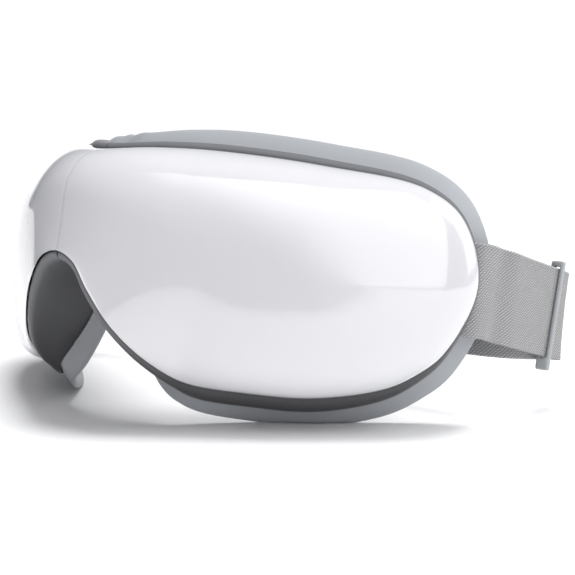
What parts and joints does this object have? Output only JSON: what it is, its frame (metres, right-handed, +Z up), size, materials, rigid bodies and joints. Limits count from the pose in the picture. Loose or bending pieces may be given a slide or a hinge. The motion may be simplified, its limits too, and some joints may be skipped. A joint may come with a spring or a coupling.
{
  "type": "eye massager mask",
  "caption": "Folding visor-shaped eye massager with glossy front shells, a soft face rim, padded eye linings and an elastic head strap with a slider buckle.",
  "frame": {"origin": "under the middle of the whole part's box, on the surface that the lower rim stands on", "axes": "+X towards the wearer's left, -Y is the mask's front, +Z up"},
  "size_m": [0.2076, 0.1394, 0.0921],
  "materials": {
    "gloss_shell": "glossy white injection-moulded shell",
    "grey_frame": "satin dark grey moulded frame",
    "soft_rim": "matte cool grey soft-touch rim",
    "lining_fabric": "soft breathable knit over foam",
    "strap_webbing": "grey elastic webbing with a diagonal twill",
    "buckle_plastic": "satin cool grey moulded plastic",
    "button_plastic": "satin grey button cap",
    "works_plastic": "black moulded plastic",
    "steel": "plain steel",
    "brass": "turned brass",
    "clear_plastic": "milky flexible plastic",
    "heating_film": "amber flexible film",
    "cell_wrap": "blue shrink wrap",
    "board": "green circuit board"
  },
  "bodies": {
    "left_half": {"left_front_shell": "gloss_shell", "left_side_frame": "grey_frame", "left_face_rim": "soft_rim", "left_eye_lining": "lining_fabric", "left_strap_anchor": "buckle_plastic", "left_carrier_plate": "works_plastic", "left_speaker": "works_plastic", "left_plate_screw_1": "steel", "left_plate_screw_2": "steel", "left_plate_screw_3": "steel", "left_hinge_leaf": "steel", "left_vibration_motor": "steel", "left_air_bag": "clear_plastic", "left_heating_film": "heating_film", "hinge_pin": "steel", "battery_pack": "cell_wrap", "air_pump_head": "works_plastic", "air_pump_motor": "steel", "solenoid_valve": "steel", "air_tube_left": "clear_plastic", "air_tube_across": "clear_plastic", "ribbon_cable": "heating_film", "strap_outer_run": "strap_webbing", "strap_return_run": "strap_webbing"},
    "right_half": {"right_front_shell": "gloss_shell", "right_side_frame": "grey_frame", "right_face_rim": "soft_rim", "right_eye_lining": "lining_fabric", "right_strap_anchor": "buckle_plastic", "right_carrier_plate": "works_plastic", "right_speaker": "works_plastic", "right_plate_screw_1": "steel", "right_plate_screw_2": "steel", "right_plate_screw_3": "steel", "right_hinge_leaf": "steel", "right_vibration_motor": "steel", "right_air_bag": "clear_plastic", "right_heating_film": "heating_film", "main_board": "board", "board_driver_chip": "works_plastic", "board_radio_chip": "works_plastic", "button_switch": "works_plastic", "indicator_light": "clear_plastic", "charging_port": "steel"},
    "power_button": {"power_button": "button_plastic"},
    "slider_buckle": {"slider_buckle": "buckle_plastic"},
    "valve_plunger": {"valve_plunger": "steel"},
    "left_vibration_weight": {"left_vibration_weight": "brass"},
    "right_vibration_weight": {"right_vibration_weight": "brass"}
  },
  "joints": [
    {"name": "fold_hinge", "type": "hinge", "parent": "left_half", "child": "right_half", "pos_m": [-0.00147, -0.03019, 0.0666], "axis": [0, -0.134, -0.991], "range_deg": [0, 95], "deforming": ["strap_return_run", "air_tube_across", "ribbon_cable"]},
    {"name": "power_button_press", "type": "slide", "parent": "right_half", "child": "power_button", "axis": [0.1314, -0.2555, -0.9578], "range_m": [0, 0.0006], "stiffness_N_per_m": 900, "springref_m": -0.0006},
    {"name": "buckle_adjust", "type": "slide", "parent": "left_half", "child": "slider_buckle", "axis": [0.0301, 0.9675, -0.2512], "range_m": [-0.018, 0]},
    {"name": "valve_plunger_slide", "type": "slide", "parent": "left_half", "child": "valve_plunger", "axis": [-0.744, -0.6621, 0.0895], "range_m": [0, 0.0008], "stiffness_N_per_m": 150, "springref_m": -0.0005},
    {"name": "left_weight_spin", "type": "hinge", "parent": "left_half", "child": "left_vibration_weight", "pos_m": [0.02976, -0.04579, 0.06366], "axis": [0, -0.134, -0.991], "continuous": true},
    {"name": "right_weight_spin", "type": "hinge", "parent": "right_half", "child": "right_vibration_weight", "pos_m": [-0.03271, -0.04579, 0.06366], "axis": [0, -0.134, -0.991], "continuous": true}
  ]
}
